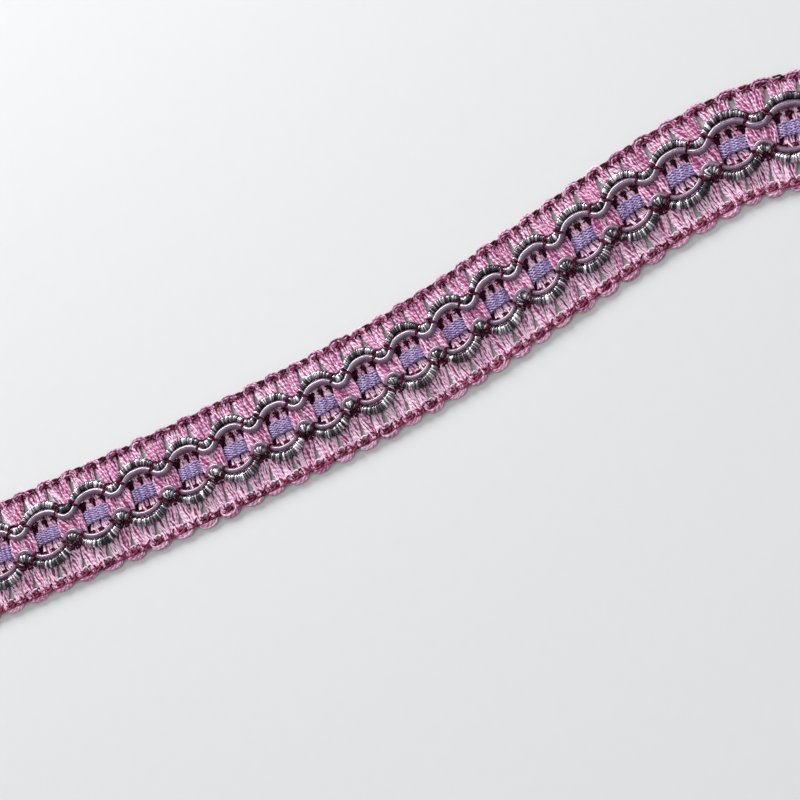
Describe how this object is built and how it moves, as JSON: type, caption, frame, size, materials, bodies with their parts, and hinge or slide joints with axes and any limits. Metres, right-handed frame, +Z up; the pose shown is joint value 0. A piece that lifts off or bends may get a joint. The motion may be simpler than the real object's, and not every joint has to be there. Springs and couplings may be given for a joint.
{
  "type": "length of metallic gimp braid trim",
  "caption": "Cut length of flat looped gimp braid, laid in a shallow S, with waving metallic and satin cords along a woven centre tape.",
  "frame": {"origin": "on the resting surface, under the middle of the strip's box", "axes": "+X along the strip, +Y across it, +Z up out of its face"},
  "size_m": [0.1646, 0.0264, 0.0033],
  "materials": {
    "ground_yarn": "lustrous twisted filament yarn, orchid pink",
    "tape_yarn": "fine plied yarn, lilac",
    "satin_gimp": "smooth satin-wrapped cord, mauve",
    "metallic_gimp": "metallised film wrapped on a core, gunmetal",
    "stitch_thread": "sewing and chain stitch thread, plum"
  },
  "bodies": {
    "root": {"ground_braid": "ground_yarn", "centre_tape": "tape_yarn", "satin_gimp_upper": "satin_gimp", "satin_gimp_lower": "satin_gimp", "metallic_gimp_upper": "metallic_gimp", "metallic_gimp_lower": "metallic_gimp"}
  },
  "joints": []
}
